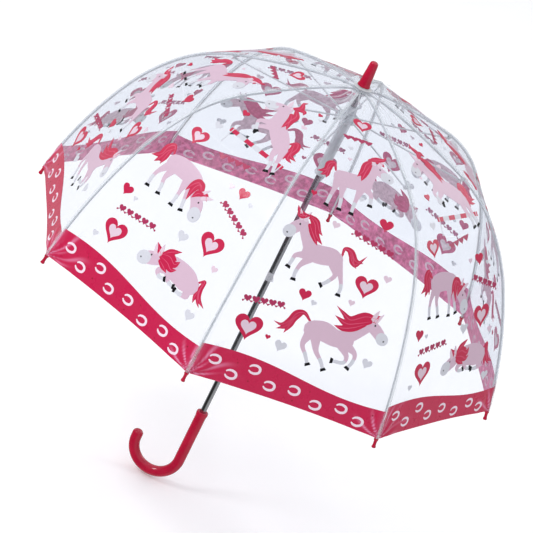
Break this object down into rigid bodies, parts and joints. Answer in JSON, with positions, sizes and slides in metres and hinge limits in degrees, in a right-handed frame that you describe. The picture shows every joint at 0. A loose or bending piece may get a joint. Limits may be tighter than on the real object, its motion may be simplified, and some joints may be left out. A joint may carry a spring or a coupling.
{
  "type": "children's dome umbrella",
  "caption": "Clear film dome umbrella for a child, with folding wire ribs and stretchers, a sliding runner on a steel shaft, capped rib tips and a hooked handle.",
  "frame": {"origin": "on the shaft's axis, halfway up the handle's straight grip", "axes": "+Z along the shaft to the ferrule; the handle's hook points along -X; rib 1 lies along +X and the ribs follow every 45 degrees round +Z"},
  "size_m": [0.6852, 0.6852, 0.6818],
  "materials": {
    "crimson_plastic": "glossy moulded crimson plastic",
    "plated_steel": "bright plated steel wire and tube",
    "clear_plastic": "clear to frosted moulded plastic",
    "canopy_film": "thin clear film, glossy, with printed crimson and pink figures"
  },
  "bodies": {
    "shaft": {"shaft_tube": "plated_steel", "handle": "crimson_plastic", "crown_notch": "clear_plastic", "notch_wire": "plated_steel", "notch_pin": "plated_steel", "crown_washer": "clear_plastic", "ferrule": "crimson_plastic"},
    "runner": {"runner": "clear_plastic", "runner_wire": "plated_steel"},
    "upper_catch": {"upper_catch": "plated_steel"},
    "lower_catch": {"lower_catch": "clear_plastic"},
    "rib_1_inner": {"rib_1_inner": "plated_steel"},
    "rib_1_outer": {"rib_1_outer": "plated_steel", "rib_1_tip": "crimson_plastic"},
    "stretcher_1": {"stretcher_1": "plated_steel"},
    "panel_1_inner": {"panel_1_inner": "canopy_film"},
    "panel_1_outer": {"panel_1_outer": "canopy_film"},
    "rib_2_inner": {"rib_2_inner": "plated_steel"},
    "rib_2_outer": {"rib_2_outer": "plated_steel", "rib_2_tip": "crimson_plastic"},
    "stretcher_2": {"stretcher_2": "plated_steel"},
    "panel_2_inner": {"panel_2_inner": "canopy_film"},
    "panel_2_outer": {"panel_2_outer": "canopy_film"},
    "rib_3_inner": {"rib_3_inner": "plated_steel"},
    "rib_3_outer": {"rib_3_outer": "plated_steel", "rib_3_tip": "crimson_plastic"},
    "stretcher_3": {"stretcher_3": "plated_steel"},
    "panel_3_inner": {"panel_3_inner": "canopy_film"},
    "panel_3_outer": {"panel_3_outer": "canopy_film"},
    "rib_4_inner": {"rib_4_inner": "plated_steel"},
    "rib_4_outer": {"rib_4_outer": "plated_steel", "rib_4_tip": "crimson_plastic"},
    "stretcher_4": {"stretcher_4": "plated_steel"},
    "panel_4_inner": {"panel_4_inner": "canopy_film"},
    "panel_4_outer": {"panel_4_outer": "canopy_film"},
    "rib_5_inner": {"rib_5_inner": "plated_steel"},
    "rib_5_outer": {"rib_5_outer": "plated_steel", "rib_5_tip": "crimson_plastic"},
    "stretcher_5": {"stretcher_5": "plated_steel"},
    "panel_5_inner": {"panel_5_inner": "canopy_film"},
    "panel_5_outer": {"panel_5_outer": "canopy_film"},
    "rib_6_inner": {"rib_6_inner": "plated_steel"},
    "rib_6_outer": {"rib_6_outer": "plated_steel", "rib_6_tip": "crimson_plastic"},
    "stretcher_6": {"stretcher_6": "plated_steel"},
    "panel_6_inner": {"panel_6_inner": "canopy_film"},
    "panel_6_outer": {"panel_6_outer": "canopy_film"},
    "rib_7_inner": {"rib_7_inner": "plated_steel"},
    "rib_7_outer": {"rib_7_outer": "plated_steel", "rib_7_tip": "crimson_plastic"},
    "stretcher_7": {"stretcher_7": "plated_steel"},
    "panel_7_inner": {"panel_7_inner": "canopy_film"},
    "panel_7_outer": {"panel_7_outer": "canopy_film"},
    "rib_8_inner": {"rib_8_inner": "plated_steel"},
    "rib_8_outer": {"rib_8_outer": "plated_steel", "rib_8_tip": "crimson_plastic"},
    "stretcher_8": {"stretcher_8": "plated_steel"},
    "panel_8_inner": {"panel_8_inner": "canopy_film"},
    "panel_8_outer": {"panel_8_outer": "canopy_film"}
  },
  "joints": [
    {"name": "runner_slide", "type": "slide", "parent": "shaft", "child": "runner", "axis": [0, 0, 1], "range_m": [-0.27387, 0], "deforming": ["rib_1_inner", "rib_1_outer", "panel_1_inner", "panel_1_outer", "rib_2_inner", "rib_2_outer", "panel_2_inner", "panel_2_outer", "rib_3_inner", "rib_3_outer", "panel_3_inner", "panel_3_outer", "rib_4_inner", "rib_4_outer", "panel_4_inner", "panel_4_outer", "rib_5_inner", "rib_5_outer", "panel_5_inner", "panel_5_outer", "rib_6_inner", "rib_6_outer", "panel_6_inner", "panel_6_outer", "rib_7_inner", "rib_7_outer", "panel_7_inner", "panel_7_outer", "rib_8_inner", "rib_8_outer", "panel_8_inner", "panel_8_outer", "upper_catch", "lower_catch"]},
    {"name": "rib_1_fold", "type": "hinge", "parent": "shaft", "child": "rib_1_inner", "pos_m": [0.009, 0, 0.5565], "axis": [0, 1, 0], "range_deg": [-0.5, 65]},
    {"name": "rib_1_flex", "type": "hinge", "parent": "rib_1_inner", "child": "rib_1_outer", "pos_m": [0.233, 0, 0.47364], "axis": [0, 1, 0], "range_deg": [-44.24, 0.5]},
    {"name": "stretcher_1_swing", "type": "hinge", "parent": "runner", "child": "stretcher_1", "pos_m": [0.0125, 0, 0.515], "axis": [0, 1, 0], "range_deg": [-82.09, 0.5]},
    {"name": "panel_1_fold", "type": "hinge", "parent": "shaft", "child": "panel_1_inner", "pos_m": [0.00768, 0.00318, 0.5565], "axis": [-0.3827, 0.9239, 0], "range_deg": [-0.5, 63.57]},
    {"name": "panel_1_flex", "type": "hinge", "parent": "panel_1_inner", "child": "panel_1_outer", "pos_m": [0.20041, 0.08301, 0.47538], "axis": [-0.3827, 0.9239, 0], "range_deg": [-44.22, 0.5]},
    {"name": "rib_2_fold", "type": "hinge", "parent": "shaft", "child": "rib_2_inner", "pos_m": [0.00636, 0.00636, 0.5565], "axis": [-0.7071, 0.7071, 0], "range_deg": [-0.5, 65]},
    {"name": "rib_2_flex", "type": "hinge", "parent": "rib_2_inner", "child": "rib_2_outer", "pos_m": [0.16476, 0.16476, 0.47364], "axis": [-0.7071, 0.7071, 0], "range_deg": [-44.24, 0.5]},
    {"name": "stretcher_2_swing", "type": "hinge", "parent": "runner", "child": "stretcher_2", "pos_m": [0.00884, 0.00884, 0.515], "axis": [-0.7071, 0.7071, 0], "range_deg": [-82.09, 0.5]},
    {"name": "panel_2_fold", "type": "hinge", "parent": "shaft", "child": "panel_2_inner", "pos_m": [0.00318, 0.00768, 0.5565], "axis": [-0.9239, 0.3827, 0], "range_deg": [-0.5, 63.57]},
    {"name": "panel_2_flex", "type": "hinge", "parent": "panel_2_inner", "child": "panel_2_outer", "pos_m": [0.08301, 0.20041, 0.47538], "axis": [-0.9239, 0.3827, 0], "range_deg": [-44.22, 0.5]},
    {"name": "rib_3_fold", "type": "hinge", "parent": "shaft", "child": "rib_3_inner", "pos_m": [0, 0.009, 0.5565], "axis": [-1, 0, 0], "range_deg": [-0.5, 65]},
    {"name": "rib_3_flex", "type": "hinge", "parent": "rib_3_inner", "child": "rib_3_outer", "pos_m": [0, 0.233, 0.47364], "axis": [-1, 0, 0], "range_deg": [-44.24, 0.5]},
    {"name": "stretcher_3_swing", "type": "hinge", "parent": "runner", "child": "stretcher_3", "pos_m": [0, 0.0125, 0.515], "axis": [-1, 0, 0], "range_deg": [-82.09, 0.5]},
    {"name": "panel_3_fold", "type": "hinge", "parent": "shaft", "child": "panel_3_inner", "pos_m": [-0.00318, 0.00768, 0.5565], "axis": [-0.9239, -0.3827, 0], "range_deg": [-0.5, 63.57]},
    {"name": "panel_3_flex", "type": "hinge", "parent": "panel_3_inner", "child": "panel_3_outer", "pos_m": [-0.08301, 0.20041, 0.47538], "axis": [-0.9239, -0.3827, 0], "range_deg": [-44.22, 0.5]},
    {"name": "rib_4_fold", "type": "hinge", "parent": "shaft", "child": "rib_4_inner", "pos_m": [-0.00636, 0.00636, 0.5565], "axis": [-0.7071, -0.7071, 0], "range_deg": [-0.5, 65]},
    {"name": "rib_4_flex", "type": "hinge", "parent": "rib_4_inner", "child": "rib_4_outer", "pos_m": [-0.16476, 0.16476, 0.47364], "axis": [-0.7071, -0.7071, 0], "range_deg": [-44.24, 0.5]},
    {"name": "stretcher_4_swing", "type": "hinge", "parent": "runner", "child": "stretcher_4", "pos_m": [-0.00884, 0.00884, 0.515], "axis": [-0.7071, -0.7071, 0], "range_deg": [-82.09, 0.5]},
    {"name": "panel_4_fold", "type": "hinge", "parent": "shaft", "child": "panel_4_inner", "pos_m": [-0.00768, 0.00318, 0.5565], "axis": [-0.3827, -0.9239, 0], "range_deg": [-0.5, 63.57]},
    {"name": "panel_4_flex", "type": "hinge", "parent": "panel_4_inner", "child": "panel_4_outer", "pos_m": [-0.20041, 0.08301, 0.47538], "axis": [-0.3827, -0.9239, 0], "range_deg": [-44.22, 0.5]},
    {"name": "rib_5_fold", "type": "hinge", "parent": "shaft", "child": "rib_5_inner", "pos_m": [-0.009, 0, 0.5565], "axis": [0, -1, 0], "range_deg": [-0.5, 65]},
    {"name": "rib_5_flex", "type": "hinge", "parent": "rib_5_inner", "child": "rib_5_outer", "pos_m": [-0.233, 0, 0.47364], "axis": [0, -1, 0], "range_deg": [-44.24, 0.5]},
    {"name": "stretcher_5_swing", "type": "hinge", "parent": "runner", "child": "stretcher_5", "pos_m": [-0.0125, 0, 0.515], "axis": [0, -1, 0], "range_deg": [-82.09, 0.5]},
    {"name": "panel_5_fold", "type": "hinge", "parent": "shaft", "child": "panel_5_inner", "pos_m": [-0.00768, -0.00318, 0.5565], "axis": [0.3827, -0.9239, 0], "range_deg": [-0.5, 63.57]},
    {"name": "panel_5_flex", "type": "hinge", "parent": "panel_5_inner", "child": "panel_5_outer", "pos_m": [-0.20041, -0.08301, 0.47538], "axis": [0.3827, -0.9239, 0], "range_deg": [-44.22, 0.5]},
    {"name": "rib_6_fold", "type": "hinge", "parent": "shaft", "child": "rib_6_inner", "pos_m": [-0.00636, -0.00636, 0.5565], "axis": [0.7071, -0.7071, 0], "range_deg": [-0.5, 65]},
    {"name": "rib_6_flex", "type": "hinge", "parent": "rib_6_inner", "child": "rib_6_outer", "pos_m": [-0.16476, -0.16476, 0.47364], "axis": [0.7071, -0.7071, 0], "range_deg": [-44.24, 0.5]},
    {"name": "stretcher_6_swing", "type": "hinge", "parent": "runner", "child": "stretcher_6", "pos_m": [-0.00884, -0.00884, 0.515], "axis": [0.7071, -0.7071, 0], "range_deg": [-82.09, 0.5]},
    {"name": "panel_6_fold", "type": "hinge", "parent": "shaft", "child": "panel_6_inner", "pos_m": [-0.00318, -0.00768, 0.5565], "axis": [0.9239, -0.3827, 0], "range_deg": [-0.5, 63.57]},
    {"name": "panel_6_flex", "type": "hinge", "parent": "panel_6_inner", "child": "panel_6_outer", "pos_m": [-0.08301, -0.20041, 0.47538], "axis": [0.9239, -0.3827, 0], "range_deg": [-44.22, 0.5]},
    {"name": "rib_7_fold", "type": "hinge", "parent": "shaft", "child": "rib_7_inner", "pos_m": [0, -0.009, 0.5565], "axis": [1, 0, 0], "range_deg": [-0.5, 65]},
    {"name": "rib_7_flex", "type": "hinge", "parent": "rib_7_inner", "child": "rib_7_outer", "pos_m": [0, -0.233, 0.47364], "axis": [1, 0, 0], "range_deg": [-44.24, 0.5]},
    {"name": "stretcher_7_swing", "type": "hinge", "parent": "runner", "child": "stretcher_7", "pos_m": [0, -0.0125, 0.515], "axis": [1, 0, 0], "range_deg": [-82.09, 0.5]},
    {"name": "panel_7_fold", "type": "hinge", "parent": "shaft", "child": "panel_7_inner", "pos_m": [0.00318, -0.00768, 0.5565], "axis": [0.9239, 0.3827, 0], "range_deg": [-0.5, 63.57]},
    {"name": "panel_7_flex", "type": "hinge", "parent": "panel_7_inner", "child": "panel_7_outer", "pos_m": [0.08301, -0.20041, 0.47538], "axis": [0.9239, 0.3827, 0], "range_deg": [-44.22, 0.5]},
    {"name": "rib_8_fold", "type": "hinge", "parent": "shaft", "child": "rib_8_inner", "pos_m": [0.00636, -0.00636, 0.5565], "axis": [0.7071, 0.7071, 0], "range_deg": [-0.5, 65]},
    {"name": "rib_8_flex", "type": "hinge", "parent": "rib_8_inner", "child": "rib_8_outer", "pos_m": [0.16476, -0.16476, 0.47364], "axis": [0.7071, 0.7071, 0], "range_deg": [-44.24, 0.5]},
    {"name": "stretcher_8_swing", "type": "hinge", "parent": "runner", "child": "stretcher_8", "pos_m": [0.00884, -0.00884, 0.515], "axis": [0.7071, 0.7071, 0], "range_deg": [-82.09, 0.5]},
    {"name": "panel_8_fold", "type": "hinge", "parent": "shaft", "child": "panel_8_inner", "pos_m": [0.00768, -0.00318, 0.5565], "axis": [0.3827, 0.9239, 0], "range_deg": [-0.5, 63.57]},
    {"name": "panel_8_flex", "type": "hinge", "parent": "panel_8_inner", "child": "panel_8_outer", "pos_m": [0.20041, -0.08301, 0.47538], "axis": [0.3827, 0.9239, 0], "range_deg": [-44.22, 0.5]},
    {"name": "upper_catch_press", "type": "hinge", "parent": "shaft", "child": "upper_catch", "pos_m": [0.0012, 0, 0.4147], "axis": [0, -1, 0], "range_deg": [0, 14], "stiffness_Nm_per_rad": 0.09, "springref_deg": -2.86},
    {"name": "lower_catch_press", "type": "hinge", "parent": "shaft", "child": "lower_catch", "pos_m": [0.0012, 0, 0.2705], "axis": [0, 1, 0], "range_deg": [0, 14], "stiffness_Nm_per_rad": 0.09, "springref_deg": -2.86}
  ],
  "couplings": [
    {"joint": "rib_1_fold", "follows": "runner_slide", "rad_per_m": -4.1105},
    {"joint": "rib_1_flex", "follows": "runner_slide", "rad_per_m": 2.7873},
    {"joint": "stretcher_1_swing", "follows": "runner_slide", "rad_per_m": 5.1997},
    {"joint": "panel_1_fold", "follows": "runner_slide", "rad_per_m": -4.0192},
    {"joint": "panel_1_flex", "follows": "runner_slide", "rad_per_m": 2.7861},
    {"joint": "rib_2_fold", "follows": "runner_slide", "rad_per_m": -4.1105},
    {"joint": "rib_2_flex", "follows": "runner_slide", "rad_per_m": 2.7873},
    {"joint": "stretcher_2_swing", "follows": "runner_slide", "rad_per_m": 5.1997},
    {"joint": "panel_2_fold", "follows": "runner_slide", "rad_per_m": -4.0192},
    {"joint": "panel_2_flex", "follows": "runner_slide", "rad_per_m": 2.7861},
    {"joint": "rib_3_fold", "follows": "runner_slide", "rad_per_m": -4.1105},
    {"joint": "rib_3_flex", "follows": "runner_slide", "rad_per_m": 2.7873},
    {"joint": "stretcher_3_swing", "follows": "runner_slide", "rad_per_m": 5.1997},
    {"joint": "panel_3_fold", "follows": "runner_slide", "rad_per_m": -4.0192},
    {"joint": "panel_3_flex", "follows": "runner_slide", "rad_per_m": 2.7861},
    {"joint": "rib_4_fold", "follows": "runner_slide", "rad_per_m": -4.1105},
    {"joint": "rib_4_flex", "follows": "runner_slide", "rad_per_m": 2.7873},
    {"joint": "stretcher_4_swing", "follows": "runner_slide", "rad_per_m": 5.1997},
    {"joint": "panel_4_fold", "follows": "runner_slide", "rad_per_m": -4.0192},
    {"joint": "panel_4_flex", "follows": "runner_slide", "rad_per_m": 2.7861},
    {"joint": "rib_5_fold", "follows": "runner_slide", "rad_per_m": -4.1105},
    {"joint": "rib_5_flex", "follows": "runner_slide", "rad_per_m": 2.7873},
    {"joint": "stretcher_5_swing", "follows": "runner_slide", "rad_per_m": 5.1997},
    {"joint": "panel_5_fold", "follows": "runner_slide", "rad_per_m": -4.0192},
    {"joint": "panel_5_flex", "follows": "runner_slide", "rad_per_m": 2.7861},
    {"joint": "rib_6_fold", "follows": "runner_slide", "rad_per_m": -4.1105},
    {"joint": "rib_6_flex", "follows": "runner_slide", "rad_per_m": 2.7873},
    {"joint": "stretcher_6_swing", "follows": "runner_slide", "rad_per_m": 5.1997},
    {"joint": "panel_6_fold", "follows": "runner_slide", "rad_per_m": -4.0192},
    {"joint": "panel_6_flex", "follows": "runner_slide", "rad_per_m": 2.7861},
    {"joint": "rib_7_fold", "follows": "runner_slide", "rad_per_m": -4.1105},
    {"joint": "rib_7_flex", "follows": "runner_slide", "rad_per_m": 2.7873},
    {"joint": "stretcher_7_swing", "follows": "runner_slide", "rad_per_m": 5.1997},
    {"joint": "panel_7_fold", "follows": "runner_slide", "rad_per_m": -4.0192},
    {"joint": "panel_7_flex", "follows": "runner_slide", "rad_per_m": 2.7861},
    {"joint": "rib_8_fold", "follows": "runner_slide", "rad_per_m": -4.1105},
    {"joint": "rib_8_flex", "follows": "runner_slide", "rad_per_m": 2.7873},
    {"joint": "stretcher_8_swing", "follows": "runner_slide", "rad_per_m": 5.1997},
    {"joint": "panel_8_fold", "follows": "runner_slide", "rad_per_m": -4.0192},
    {"joint": "panel_8_flex", "follows": "runner_slide", "rad_per_m": 2.7861}
  ]
}
